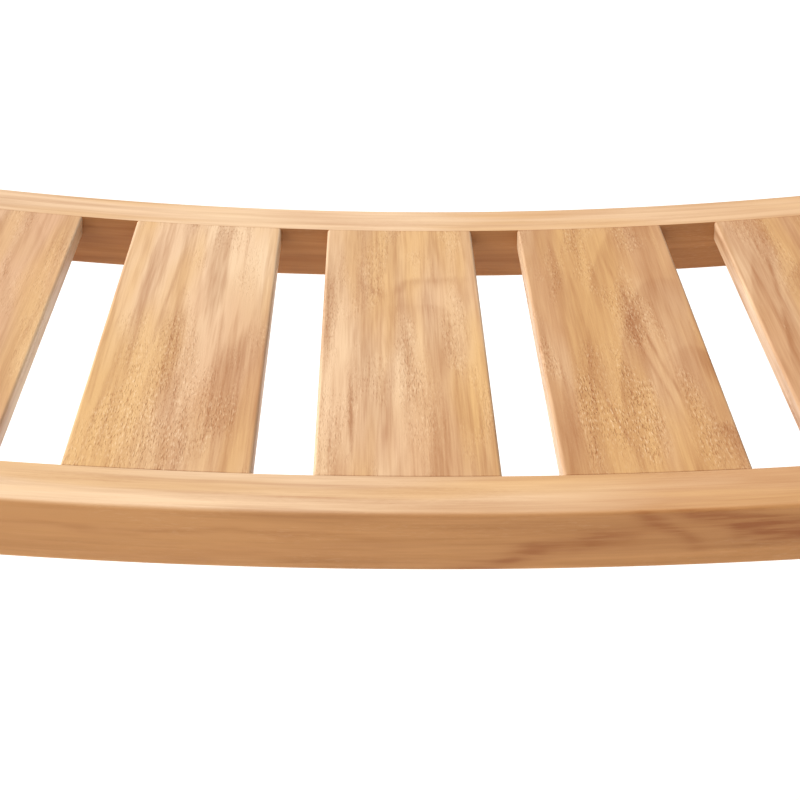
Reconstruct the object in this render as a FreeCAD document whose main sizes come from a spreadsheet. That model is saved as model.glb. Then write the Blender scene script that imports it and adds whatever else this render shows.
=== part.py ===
import FreeCAD, Part

import os
import re

import Sketcher
from FreeCAD import Vector

# A shower stool: a dished seat of teak slats between two curved rails, on four tapered legs
# with levelling feet. +X is the stool's width, +Z is up and the front is at -Y. The origin is
# on the floor, under the middle of the seat. Lengths are in millimetres.

driving_sizes = {
    # overall
    "overall_width": 600,
    "overall_depth": 310,
    "seat_low": 428,
    "seat_radius": 2075,
    # curved rails
    "rail_wide": 28,
    "rail_tall": 26.5,
    "rail_set_back": 2,
    "rail_round": 2,
    "rail_under_round": 1.5,
    "rail_tenon_long": 12,
    "rail_tenon_wide": 12,
    "rail_tenon_tall": 16,
    # slats
    "slat_wide": 75.5,
    "slat_gap": 24.5,
    "outer_slat_gap": 28.5,
    "slat_thick": 10.5,
    "slat_round": 1.4,
    "slat_under_round": 1,
    "slat_tenon_long": 9,
    "slat_tenon_thick": 5,
    "slat_tenon_shoulder": 6,
    # legs
    "leg_wide": 36,
    "leg_deep": 36,
    "leg_foot_wide": 27,
    "leg_foot_deep": 28,
    "leg_round": 3,
    "leg_top_round": 2,
    "foot_taper_drop": 12,
    # end rails and side stretchers
    "end_rail_thick": 26,
    "end_rail_tall": 50,
    "end_rail_inset": 2,
    "stretcher_thick": 20,
    "stretcher_tall": 30,
    "stretcher_low": 100,
    "stretcher_set_back": 5,
    "side_round": 2,
    "side_tenon_long": 13,
    "side_tenon_shoulder": 7,
    "end_tenon_thick": 12,
    "stretcher_tenon_thick": 10,
    "peg_radius": 3,
    "end_peg_long": 30,
    "stretcher_peg_long": 23,
    # glued joints
    "glue_gap": 0.1,
    "mortise_spare": 0.5,
    # bolts and barrel nuts
    "bolt_radius": 3,
    "bolt_long": 60,
    "bolt_gap": 0.25,
    "bolt_head_radius": 8,
    "bolt_head_tall": 2.5,
    "bolt_socket_across": 4,
    "bolt_socket_deep": 2,
    "nut_radius": 5,
    "nut_long": 12,
    "nut_inset": 22,
    "nut_gap": 0.1,
    "nut_slot_wide": 1.4,
    "nut_slot_deep": 1.5,
    # levelling feet
    "sole_radius": 12,
    "sole_tall": 3,
    "pad_radius": 12.5,
    "pad_rim_tall": 3,
    "pad_tall": 7,
    "pad_top_radius": 9,
    "pocket_tall": 2.4,
    "flange_radius": 6,
    "stud_radius": 4,
    "stud_long": 31,
    "hex_across": 13,
    "hex_tall": 3,
    "insert_radius": 6,
    "insert_long": 14,
    "thread_gap": 0.05,
    "turning_gap": 0.2,
}

doc = FreeCAD.newDocument("shower_stool")
sheet = doc.addObject("Spreadsheet::Sheet", "sizes")
for row, (alias, size) in enumerate(driving_sizes.items(), 1):
    sheet.set(f"A{row}", alias)
    sheet.set(f"B{row}", str(size))
    sheet.setAlias(f"B{row}", alias)
doc.recompute()

alias_words = re.compile(r"\b(" + "|".join(driving_sizes) + r")\b")


def bind(thing, prop, text):
    thing.setExpression(prop, alias_words.sub(r"sizes.\1", text))


def number(text):
    return float(sheet.evalExpression(text))


# Worked-out sizes, as expressions in the sheet's own words

def seat_top(x):
    return f"(seat_low + seat_radius - sqrt(seat_radius ^ 2 - ({x}) ^ 2))"


leg_inner = "(overall_width / 2 - leg_wide)"
leg_bottom = "(sole_tall + pad_tall + hex_tall + 2 * turning_gap)"
leg_y = "(overall_depth / 2 - leg_deep / 2)"
between_legs = "(overall_depth - 2 * leg_deep)"
foot_x = "(overall_width / 2 - leg_foot_wide / 2)"
foot_y = "(overall_depth / 2 - leg_foot_deep / 2)"

rail_y = "(overall_depth / 2 - rail_set_back - rail_wide / 2)"
rail_end_middle = f"(seat_low + seat_radius - sqrt((seat_radius + rail_tall / 2) ^ 2 - {leg_inner} ^ 2))"
bolt_x = "(overall_width / 2 - bolt_head_tall)"
nut_x = f"({leg_inner} - nut_inset)"

slat_long = "(overall_depth - 2 * rail_set_back - 2 * rail_wide)"
slat_tenon_wide = "(slat_wide - 2 * slat_tenon_shoulder)"
slat_tenon_low = "(-(slat_thick + slat_tenon_thick) / 2)"

end_rail_x = f"({leg_inner} + end_rail_inset + end_rail_thick / 2)"
end_rail_low = f"({seat_top(leg_inner)} - end_rail_tall)"
end_tenon_low = f"({end_rail_low} + side_tenon_shoulder)"
end_tenon_tall = "(end_rail_tall - 2 * side_tenon_shoulder)"
stretcher_x = "(overall_width / 2 - stretcher_set_back - stretcher_thick / 2)"
stretcher_tenon_low = "(stretcher_low + side_tenon_shoulder / 2)"
stretcher_tenon_tall = "(stretcher_tall - side_tenon_shoulder)"
peg_y = "(overall_depth / 2 - leg_deep + side_tenon_long / 2)"
end_peg_z = f"({end_tenon_low} + {end_tenon_tall} / 2)"
stretcher_peg_z = f"({stretcher_tenon_low} + {stretcher_tenon_tall} / 2)"

along_x = ("0; 1; 0", "90")
along_z = ("0; 0; 1", "0")


def at(x, y, z, turn=along_z):
    axis, angle = turn
    return f"placement(vector({x}; {y}; {z}); rotation(vector({axis}); {angle}))"


def on_seat(distance):
    # a frame on the seat's curve, at the given distance along it from the middle
    angle = f"({distance} / seat_radius * 180 / pi)"
    rise = f"seat_low + seat_radius * (1 - cos({angle}))"
    return at(f"seat_radius * sin({angle})", "0", rise, ("0; 1; 0", f"-{angle}"))


# What the features are made with

def new_body(label, place=None):
    body = doc.addObject("PartDesign::Body", label)
    body.Label = label
    if place:
        bind(body, "Placement", place)
    return body


def outline(body, role, corners):
    # a closed outline on one of the body's own planes, each corner held by its two distances
    plane = next(f for f in body.Origin.OriginFeatures if f.Role == role)
    sketch = body.newObject("Sketcher::SketchObject", body.Label + "_outline")
    sketch.AttachmentSupport = (plane, [""])
    sketch.MapMode = "FlatFace"
    points = [Vector(number(across), number(up), 0) for across, up in corners]
    following = points[1:] + points[:1]
    for start, end in zip(points, following):
        sketch.addGeometry(Part.LineSegment(start, end), False)
    for line in range(len(points)):
        joined = (line + 1) % len(points)
        sketch.addConstraint(Sketcher.Constraint("Coincident", line, 2, joined, 1))
    for line, (point, corner) in enumerate(zip(points, corners)):
        hold_point(sketch, line, 1, point, corner)
    return sketch


def hold_point(sketch, line, end, point, corner):
    for kind, distance, text in zip(("DistanceX", "DistanceY"), point, corner):
        held = sketch.addConstraint(Sketcher.Constraint(kind, -1, 1, line, end, distance))
        bind(sketch, f"Constraints[{held}]", text)


def pad(body, sketch, length):
    feature = body.newObject("PartDesign::Pad", body.Label + "_pad")
    feature.Profile = sketch
    feature.Midplane = True
    bind(feature, "Length", length)


def pocket(body, sketch, length):
    # cut to both sides of the sketch's plane, so its direction can't be wrong
    feature = body.newObject("PartDesign::Pocket", body.Label + "_pocket")
    feature.Profile = sketch
    feature.Midplane = True
    bind(feature, "Length", length)


def turned(body, corners):
    sketch = outline(body, "XZ_Plane", corners)
    feature = body.newObject("PartDesign::Revolution", body.Label + "_turned")
    feature.Profile = sketch
    feature.ReferenceAxis = (sketch, ["V_Axis"])
    feature.Angle = 360


def bent(body, corners, axis_height, angle):
    # a section across the seat, swept along the seat's curve to both sides of the middle
    sketch = outline(body, "YZ_Plane", corners)
    half = 10
    height = number(axis_height)
    ends = (Vector(-half, height, 0), Vector(half, height, 0))
    axis = sketch.addGeometry(Part.LineSegment(*ends), True)
    hold_point(sketch, axis, 1, ends[0], (f"-{half}", axis_height))
    hold_point(sketch, axis, 2, ends[1], (f"{half}", axis_height))
    feature = body.newObject("PartDesign::Revolution", body.Label + "_bent")
    feature.Profile = sketch
    feature.ReferenceAxis = (sketch, ["Axis0"])
    feature.Midplane = True
    bind(feature, "Angle", angle)


def block(body, kind, corner, lengths, frame=None):
    box = body.newObject(f"PartDesign::{kind}Box", body.Label + "_block")
    for prop, text in zip(("Length", "Width", "Height"), lengths):
        bind(box, prop, text)
    place = at(*corner)
    bind(box, "Placement", f"{frame} * {place}" if frame else place)


def drill(body, start, turn, radius, depth):
    hole = body.newObject("PartDesign::SubtractiveCylinder", body.Label + "_hole")
    bind(hole, "Radius", radius)
    bind(hole, "Height", depth)
    bind(hole, "Placement", at(*start, turn))


def round_edges(body, radius, wanted):
    doc.recompute()
    base = body.Tip
    names = [f"Edge{place}" for place, edge in enumerate(base.Shape.Edges, 1) if wanted(edge)]
    fillet = body.newObject("PartDesign::Fillet", body.Label + "_fillet")
    fillet.Base = (base, names)
    bind(fillet, "Radius", radius)


def direction(edge):
    ends = edge.Vertexes
    return (ends[-1].Point - ends[0].Point).normalize() if len(ends) > 1 else Vector()


def lies_along(edge, axis, length):
    return edge.Length > length and abs(direction(edge).dot(axis)) > 0.99


def hexagon(body, across):
    # corners of a hexagon with two of its flats across X
    corner = f"({across} / sqrt(3))"
    half = f"({across} / 2)"
    corners = [(half, f"{corner} / 2"), ("0", corner), (f"-{half}", f"{corner} / 2"),
               (f"-{half}", f"-{corner} / 2"), ("0", f"-{corner}"), (half, f"-{corner} / 2")]
    return outline(body, "XY_Plane", corners)


def mirrored(source, label, normal):
    copy = doc.addObject("Part::Mirroring", label)
    copy.Label = label
    copy.Source = source
    copy.Base = Vector(0, 0, 0)
    copy.Normal = normal
    return copy


def on_four_corners(source, name):
    # the source at the front left and its mirror images at the other three corners
    front_right = mirrored(source, f"{name}_front_right", Vector(1, 0, 0))
    rear_left = mirrored(source, f"{name}_rear_left", Vector(0, 1, 0))
    rear_right = mirrored(front_right, f"{name}_rear_right", Vector(0, 1, 0))
    return [source, front_right, rear_left, rear_right]


def group(label, members):
    compound = doc.addObject("Part::Compound", label)
    compound.Label = label
    compound.Links = members
    return compound


nodes = []

# The outer slats stand a little further off than the others
inner_slat = "(slat_wide + slat_gap)"
outer_slat = f"({inner_slat} + slat_wide + outer_slat_gap)"
slat_places = [f"-{outer_slat}", f"-{inner_slat}", "0", inner_slat, outer_slat]


# Rails: bent section, square ends with stub tenons, a mortise for each slat

def front_rail():
    body = new_body("front_rail", at("0", f"-{rail_y}", "0"))
    half = "rail_wide / 2"
    section = [(f"-{half}", "seat_low - rail_tall"), (half, "seat_low - rail_tall"),
               (half, "seat_low"), (f"-{half}", "seat_low")]
    bent(body, section, "seat_low + seat_radius", "overall_width / seat_radius * 180 / pi")

    front = -number(half)
    under = number("seat_low - rail_tall / 2")
    long_enough = number("overall_width / 2")

    def is_front(edge):
        return edge.Length > long_enough and edge.CenterOfMass.y < front + 1

    def is_inner_bottom(edge):
        middle = edge.valueAt(edge.getParameterByLength(edge.Length / 2))
        return edge.Length > long_enough and middle.y > 0 and middle.z < under

    round_edges(body, "rail_round", is_front)
    round_edges(body, "rail_under_round", is_inner_bottom)

    trim = "leg_wide * 2"
    for corner in (leg_inner, f"-{leg_inner} - {trim}"):
        block(body, "Subtractive", (corner, "-rail_wide", "seat_low - 2 * rail_tall"),
              (trim, "2 * rail_wide", "6 * rail_tall"))
    tenon_low = f"{rail_end_middle} - rail_tenon_tall / 2"
    for corner in (f"{leg_inner} - rail_tenon_long", f"-{leg_inner} - rail_tenon_long"):
        block(body, "Additive", (corner, "-rail_tenon_wide / 2", tenon_low),
              ("2 * rail_tenon_long", "rail_tenon_wide", "rail_tenon_tall"))

    mortise_wide = f"{slat_tenon_wide} + 2 * glue_gap"
    mortise_corner = (f"-({mortise_wide}) / 2", f"{half} - slat_tenon_long - mortise_spare",
                      f"{slat_tenon_low} - glue_gap")
    for place in slat_places:
        block(body, "Subtractive", mortise_corner,
              (mortise_wide, "rail_wide", "slat_tenon_thick + 2 * glue_gap"), on_seat(place))

    bolt_hole = "bolt_radius + bolt_gap"
    hole_end = f"{bolt_x} - bolt_long - 1"
    nut_hole_top = f"{rail_end_middle} + nut_long / 2 + nut_gap"
    for side in ("", "-"):
        start = hole_end if side == "" else f"-{leg_inner} - 2 * rail_tenon_long"
        depth = f"{leg_inner} + 2 * rail_tenon_long - ({hole_end})"
        drill(body, (start, "0", rail_end_middle), along_x, bolt_hole, depth)
        nut_start = (f"{side}{nut_x}", "0", f"{nut_hole_top} - 2 * rail_tall")
        drill(body, nut_start, along_z, "nut_radius + nut_gap", "2 * rail_tall")
    return body


rail = front_rail()
nodes += [rail, mirrored(rail, "rear_rail", Vector(0, 1, 0))]


# Slats: bent to the seat's curve, with a flat stub tenon at each end

def slat(label, place):
    body = new_body(label, on_seat(place))
    half = f"{slat_long} / 2"
    section = [(f"-{half}", "-slat_thick"), (half, "-slat_thick"), (half, "0"), (f"-{half}", "0")]
    bent(body, section, "seat_radius", "slat_wide / seat_radius * 180 / pi")

    across = Vector(0, 1, 0)
    middle = -number("slat_thick / 2")

    def is_long(edge):
        return lies_along(edge, across, number(half))

    round_edges(body, "slat_round", lambda edge: is_long(edge) and edge.CenterOfMass.z > middle)
    round_edges(body, "slat_under_round",
                lambda edge: is_long(edge) and edge.CenterOfMass.z < middle - 1)
    block(body, "Additive", (f"-{slat_tenon_wide} / 2", f"-{half} - slat_tenon_long", slat_tenon_low),
          (slat_tenon_wide, f"{slat_long} + 2 * slat_tenon_long", "slat_tenon_thick"))
    return body


nodes += [slat(f"slat_{count}", place) for count, place in enumerate(slat_places, 1)]


# Legs: square at the top, tapered inwards to the foot, made for the front left corner

def front_left_leg():
    place = at("-overall_width / 2", f"-{leg_y}", "0")
    body = new_body("leg_front_left", place)
    profile = [("0", leg_bottom), ("leg_foot_wide", leg_bottom), ("leg_wide", end_rail_low),
               ("leg_wide", seat_top(leg_inner)), ("0", seat_top("overall_width / 2"))]
    pad(body, outline(body, "XZ_Plane", profile), "leg_deep")

    taper_top = "stretcher_low - foot_taper_drop"
    beyond = "leg_deep"
    wedge = [("leg_deep / 2", taper_top), ("leg_foot_deep - leg_deep / 2", leg_bottom),
             (beyond, leg_bottom), (beyond, taper_top)]
    pocket(body, outline(body, "YZ_Plane", wedge), "4 * leg_wide")

    up = Vector(0, 0, 1)
    top = number(seat_top(leg_inner)) - 1
    upright_length = number("stretcher_low / 2")
    round_edges(body, "leg_round", lambda edge: lies_along(edge, up, upright_length))
    round_edges(body, "leg_top_round", lambda edge: edge.BoundBox.ZMin > top - number("leg_round"))

    # mortise for the curved rail, open towards the middle of the stool
    rail_offset = "(leg_deep / 2 - rail_set_back - rail_wide / 2)"
    wide = "rail_tenon_wide + 2 * glue_gap"
    block(body, "Subtractive",
          ("leg_wide - rail_tenon_long - mortise_spare", f"-{rail_offset} - ({wide}) / 2",
           f"{rail_end_middle} - rail_tenon_tall / 2 - glue_gap"),
          ("leg_wide", wide, "rail_tenon_tall + 2 * glue_gap"))

    # mortises for the end rail and the stretcher, open towards the other leg
    side_mortise(body, end_rail_x, "end_tenon_thick", end_tenon_low, end_tenon_tall)
    side_mortise(body, stretcher_x, "stretcher_tenon_thick", stretcher_tenon_low,
                 stretcher_tenon_tall)

    # bolt hole with a flat sinking for the head
    axis_start = ("-1", f"-{rail_offset}", rail_end_middle)
    drill(body, axis_start, along_x, "bolt_radius + bolt_gap", "leg_wide + 2")
    drill(body, axis_start, along_x, "bolt_head_radius + bolt_gap", "bolt_head_tall + 1")

    # peg holes
    local_peg_y = "(leg_deep / 2 - side_tenon_long / 2)"
    for height, depth in ((end_peg_z, "end_peg_long"), (stretcher_peg_z, "stretcher_peg_long")):
        drill(body, ("-1", local_peg_y, height), along_x, "peg_radius + glue_gap",
              f"{depth} + 1 + glue_gap")

    # sockets for the threaded insert and, above it, the stud's free end
    foot = ("leg_foot_wide / 2", "leg_foot_deep / 2 - leg_deep / 2", f"{leg_bottom} - 1")
    drill(body, foot, along_z, "insert_radius + glue_gap", "insert_long + glue_gap + 1")
    drill(body, foot, along_z, "stud_radius + mortise_spare", "stud_long + 2")
    return body


def side_mortise(body, centre, thickness, low, height):
    wide = f"{thickness} + 2 * glue_gap"
    corner = (f"overall_width / 2 - {centre} - ({wide}) / 2",
              "leg_deep / 2 - side_tenon_long - mortise_spare", f"{low} - glue_gap")
    block(body, "Subtractive", corner, (wide, "leg_deep", f"{height} + 2 * glue_gap"))


nodes += on_four_corners(front_left_leg(), "leg")


# End rails and side stretchers, between the front and rear legs

def side_piece(label, centre, profile, tenon, peg_z):
    body = new_body(label, at(f"-{centre}", "0", "0"))
    pad(body, outline(body, "XZ_Plane", profile), between_legs)
    across = Vector(0, 1, 0)
    round_edges(body, "side_round", lambda edge: lies_along(edge, across, number("leg_deep")))
    thickness, low, height = tenon
    half = f"({between_legs} / 2 + side_tenon_long)"
    block(body, "Additive", (f"-{thickness} / 2", f"-{half}", low), (thickness, f"2 * {half}", height))
    for side in ("", "-"):
        drill(body, (f"-{thickness}", f"{side}{peg_y}", peg_z), along_x,
              "peg_radius + glue_gap", f"2 * {thickness}")
    return body


def left_end_rail():
    half = "end_rail_thick / 2"
    profile = [(f"-{half}", end_rail_low), (half, end_rail_low),
               (half, seat_top(f"{end_rail_x} - {half}")),
               (f"-{half}", seat_top(f"{end_rail_x} + {half}"))]
    tenon = ("end_tenon_thick", end_tenon_low, end_tenon_tall)
    return side_piece("end_rail_left", end_rail_x, profile, tenon, end_peg_z)


def left_stretcher():
    half = "stretcher_thick / 2"
    high = "stretcher_low + stretcher_tall"
    profile = [(f"-{half}", "stretcher_low"), (half, "stretcher_low"), (half, high), (f"-{half}", high)]
    tenon = ("stretcher_tenon_thick", stretcher_tenon_low, stretcher_tenon_tall)
    return side_piece("stretcher_left", stretcher_x, profile, tenon, stretcher_peg_z)


for made, label in ((left_end_rail(), "end_rail_right"), (left_stretcher(), "stretcher_right")):
    nodes += [made, mirrored(made, label, Vector(1, 0, 0))]


# Pegs through the side tenons, driven in from the legs' outer faces

def peg(label, height, length):
    cylinder = doc.addObject("Part::Cylinder", label)
    bind(cylinder, "Radius", "peg_radius")
    bind(cylinder, "Height", length)
    bind(cylinder, "Placement", at("-overall_width / 2", f"-{peg_y}", height, along_x))
    return cylinder


end_pegs = on_four_corners(peg("end_peg", end_peg_z, "end_peg_long"), "end_peg")
stretcher_pegs = on_four_corners(peg("stretcher_peg", stretcher_peg_z, "stretcher_peg_long"),
                                 "stretcher_peg")
nodes += [group("end_rail_pegs", end_pegs), group("stretcher_pegs", stretcher_pegs)]


# Bolts with flat heads and hexagon sockets, and the barrel nuts in the curved rails

def bolt():
    body = new_body("bolt", at("-overall_width / 2", f"-{rail_y}", rail_end_middle, along_x))
    end = "bolt_head_tall + bolt_long"
    turned(body, [("0", "0"), ("bolt_head_radius", "0"), ("bolt_head_radius", "bolt_head_tall"),
                  ("bolt_radius", "bolt_head_tall"), ("bolt_radius", end), ("0", end)])
    pocket(body, hexagon(body, "bolt_socket_across"), "2 * bolt_socket_deep")
    return body


def barrel_nut():
    body = new_body("barrel_nut", at(f"-{nut_x}", f"-{rail_y}", rail_end_middle))
    half = "nut_long / 2"
    turned(body, [("0", f"-{half}"), ("nut_radius", f"-{half}"), ("nut_radius", half), ("0", half)])
    drill(body, ("-2 * nut_radius", "0", "0"), along_x, "bolt_radius + nut_gap", "4 * nut_radius")
    block(body, "Subtractive", ("-2 * nut_radius", "-nut_slot_wide / 2", f"-{half} - 1"),
          ("4 * nut_radius", "nut_slot_wide", "nut_slot_deep + 1"))
    return body


nodes += [group("leg_bolts", on_four_corners(bolt(), "bolt")),
          group("barrel_nuts", on_four_corners(barrel_nut(), "barrel_nut"))]


# Levelling feet. The stud's flange is held in the pad, the sole closes the pad from below,
# and the stud screws up into an insert in the leg.

flange_low = "(sole_tall + turning_gap)"
hex_low = "(sole_tall + pad_tall + turning_gap)"
stud_end = f"({hex_low} + hex_tall + stud_long)"


def foot_insert():
    body = new_body("foot_insert", at(f"-{foot_x}", f"-{foot_y}", leg_bottom))
    bore = "stud_radius + thread_gap"
    turned(body, [(bore, "0"), ("insert_radius", "0"), ("insert_radius", "insert_long"),
                  (bore, "insert_long")])
    return body


def foot_stud(label, place):
    body = new_body(label, place)
    flange_top = "sole_tall + pocket_tall - turning_gap"
    turned(body, [("0", flange_low), ("flange_radius", flange_low), ("flange_radius", flange_top),
                  ("stud_radius", flange_top), ("stud_radius", stud_end), ("0", stud_end)])
    nut = body.newObject("PartDesign::Pad", label + "_hexagon")
    nut.Profile = hexagon(body, "hex_across")
    bind(nut, "Length", "hex_tall")
    bind(nut.Profile[0], "AttachmentOffset", at("0", "0", hex_low))
    return body


def foot_pad(label, place):
    body = new_body(label, place)
    bore = "stud_radius + thread_gap"
    pocket_radius = "flange_radius + 2 * turning_gap"
    rim_top = "sole_tall + pad_rim_tall"
    top = "sole_tall + pad_tall"
    pocket_top = "sole_tall + pocket_tall"
    turned(body, [(pocket_radius, "sole_tall"), ("pad_radius", "sole_tall"), ("pad_radius", rim_top),
                  ("pad_top_radius", top), (bore, top), (bore, pocket_top),
                  (pocket_radius, pocket_top)])
    return body


def foot_sole(label, place):
    body = new_body(label, place)
    turned(body, [("0", "0"), ("sole_radius", "0"), ("sole_radius", "sole_tall"), ("0", "sole_tall")])
    return body


nodes += [group("foot_inserts", on_four_corners(foot_insert(), "foot_insert"))]
for depth_name, depth_side in (("front", "-"), ("rear", "")):
    for width_name, width_side in (("left", "-"), ("right", "")):
        corner_name = f"{depth_name}_{width_name}"
        corner_place = at(f"{width_side}{foot_x}", f"{depth_side}{foot_y}", "0")
        nodes += [foot_stud(f"foot_stud_{corner_name}", corner_place),
                  foot_pad(f"foot_pad_{corner_name}", corner_place),
                  foot_sole(f"foot_sole_{corner_name}", corner_place)]


# Build, test and write

def removes_nothing(feature):
    cuts = "Subtractive" in feature.TypeId or feature.TypeId == "PartDesign::Pocket"
    return cuts and feature.BaseFeature.Shape.Volume - feature.Shape.Volume < 1


doc.recompute()
for feature in doc.Objects:
    assert not {"Invalid", "Error"} & set(feature.State), f"{feature.Label} failed"
    assert not removes_nothing(feature), f"{feature.Label} cuts nothing"

os.makedirs("parts", exist_ok=True)
for node in nodes:
    assert not node.Shape.isNull() and node.Shape.isValid(), f"{node.Label} has no valid shape"
for node in nodes:
    node.Shape.exportStep(f"parts/{node.Label}.step")
print(len(nodes), "nodes,", sum(len(node.Shape.Solids) for node in nodes), "solids")
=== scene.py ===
import math

import bmesh
import bpy
from mathutils import Matrix, Vector


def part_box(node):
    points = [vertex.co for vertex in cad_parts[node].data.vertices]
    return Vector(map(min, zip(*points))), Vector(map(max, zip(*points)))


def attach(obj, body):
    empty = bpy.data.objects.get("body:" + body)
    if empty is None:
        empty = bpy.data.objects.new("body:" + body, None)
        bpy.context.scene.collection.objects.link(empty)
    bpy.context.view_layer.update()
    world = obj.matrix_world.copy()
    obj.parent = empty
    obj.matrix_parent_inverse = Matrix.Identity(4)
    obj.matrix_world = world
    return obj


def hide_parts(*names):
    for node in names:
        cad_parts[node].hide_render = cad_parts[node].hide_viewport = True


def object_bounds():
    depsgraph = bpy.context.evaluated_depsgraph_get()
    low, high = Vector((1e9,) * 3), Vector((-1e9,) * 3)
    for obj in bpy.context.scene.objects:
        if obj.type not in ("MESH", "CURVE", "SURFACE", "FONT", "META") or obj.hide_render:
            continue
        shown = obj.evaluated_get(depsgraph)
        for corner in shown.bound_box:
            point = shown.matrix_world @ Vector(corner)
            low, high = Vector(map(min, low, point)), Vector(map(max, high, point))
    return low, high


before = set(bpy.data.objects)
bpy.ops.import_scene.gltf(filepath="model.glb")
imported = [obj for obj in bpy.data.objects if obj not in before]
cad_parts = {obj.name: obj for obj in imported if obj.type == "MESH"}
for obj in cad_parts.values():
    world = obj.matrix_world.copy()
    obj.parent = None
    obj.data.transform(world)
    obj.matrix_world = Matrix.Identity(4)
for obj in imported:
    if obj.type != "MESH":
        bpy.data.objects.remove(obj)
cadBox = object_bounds()
print("frame loaded,", len(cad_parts), "nodes")

mm = 0.001
scene = bpy.context.scene


# Camera, lamps and floor

studio = {
    "lens": 76.35,              # mm on a 36 mm sensor
    "fromFrontEdge": 0.5786,    # camera to the slats' front ends, along Y
    "aboveSeat": 0.3491,
    "sideways": -0.0161,
    "lookDown": 28.55,          # degrees
    "heading": -1.24,
    "tilt": 0.96,
    "skyStrength": 0.42,
    "horizonStrength": 1.0,
    "horizonBand": 0.20,        # sine of the height at which the sky's own strength begins
    "floorColour": (0.93, 0.93, 0.925),
    "floorRoughness": 0.7,
    "floorShine": 0.2,
    "floorReach": 60,
}

lamps = {
    "overheadSun": {
        "kind": "SUN", "from": (-1.0, 0.5, 1.45), "spread": 65, "power": 3.25, "colour": (1.0, 0.99, 0.975),
    },
    "leftPanel": {
        "kind": "AREA", "place": (-1.7, -0.3, 1.7), "width": 1.0, "power": 24, "colour": (1.0, 0.985, 0.96),
    },
    "frontPanel": {
        "kind": "AREA", "place": (-0.6, -2.6, 1.5), "width": 1.6, "power": 4, "colour": (1.0, 0.985, 0.965),
    },
}


def placeCamera():
    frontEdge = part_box("front_rail")[1].y
    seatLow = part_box("slat_3")[1].z
    data = bpy.data.cameras.new("camera")
    data.lens = studio["lens"]
    data.sensor_width = 36
    data.clip_start = 0.01
    camera = bpy.data.objects.new("camera", data)
    scene.collection.objects.link(camera)
    place = Vector((studio["sideways"], frontEdge - studio["fromFrontEdge"], seatLow + studio["aboveSeat"]))
    turn = (Matrix.Rotation(math.radians(studio["heading"]), 4, "Z")
            @ Matrix.Rotation(math.radians(90 - studio["lookDown"]), 4, "X")
            @ Matrix.Rotation(math.radians(studio["tilt"]), 4, "Z"))
    camera.matrix_world = Matrix.Translation(place) @ turn
    scene.camera = camera


def placeLamps():
    middle = (cadBox[0] + cadBox[1]) / 2
    for name, lamp in lamps.items():
        data = bpy.data.lights.new(name, lamp["kind"])
        data.energy = lamp["power"]
        data.color = lamp["colour"]
        made = bpy.data.objects.new(name, data)
        scene.collection.objects.link(made)
        if lamp["kind"] == "SUN":
            data.angle = math.radians(lamp["spread"])
            made.location = middle + Vector(lamp["from"])
        else:
            data.shape = "SQUARE"
            data.size = lamp["width"]
            made.location = lamp["place"]
        made.rotation_euler = (middle - made.location).to_track_quat("-Z", "Y").to_euler()


def makeSky():
    sky = bpy.data.worlds.new("studioWhite")
    sky.use_nodes = True
    background = sky.node_tree.nodes["Background"]
    background.inputs["Color"].default_value = (1, 1, 1, 1)
    nodes, links = sky.node_tree.nodes, sky.node_tree.links
    direction = nodes.new("ShaderNodeTexCoord")
    parts = nodes.new("ShaderNodeSeparateXYZ")
    fall = nodes.new("ShaderNodeMapRange")
    fall.interpolation_type = "SMOOTHSTEP"
    fall.inputs["From Max"].default_value = studio["horizonBand"]
    fall.inputs["To Min"].default_value = studio["horizonStrength"]
    fall.inputs["To Max"].default_value = studio["skyStrength"]
    links.new(direction.outputs["Generated"], parts.inputs[0])
    links.new(parts.outputs["Z"], fall.inputs["Value"])
    links.new(fall.outputs["Result"], background.inputs["Strength"])
    scene.world = sky


def makeFloor():
    reach = studio["floorReach"]
    corners = [(-reach, -reach), (reach, -reach), (reach, reach), (-reach, reach)]
    mesh = bpy.data.meshes.new("floor")
    mesh.from_pydata([(x, y, cadBox[0].z) for x, y in corners], [], [(0, 1, 2, 3)])
    floor = bpy.data.objects.new("floor", mesh)
    scene.collection.objects.link(floor)
    paint = bpy.data.materials.new("paleFloor")
    paint.use_nodes = True
    surface = paint.node_tree.nodes["Principled BSDF"].inputs
    surface["Base Color"].default_value = (*studio["floorColour"], 1)
    surface["Roughness"].default_value = studio["floorRoughness"]
    surface["Specular IOR Level"].default_value = studio["floorShine"]
    mesh.materials.append(paint)


scene.view_settings.view_transform = "Standard"
placeCamera()
placeLamps()
makeSky()
makeFloor()
print("camera, lamps and floor placed")


# Materials

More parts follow.
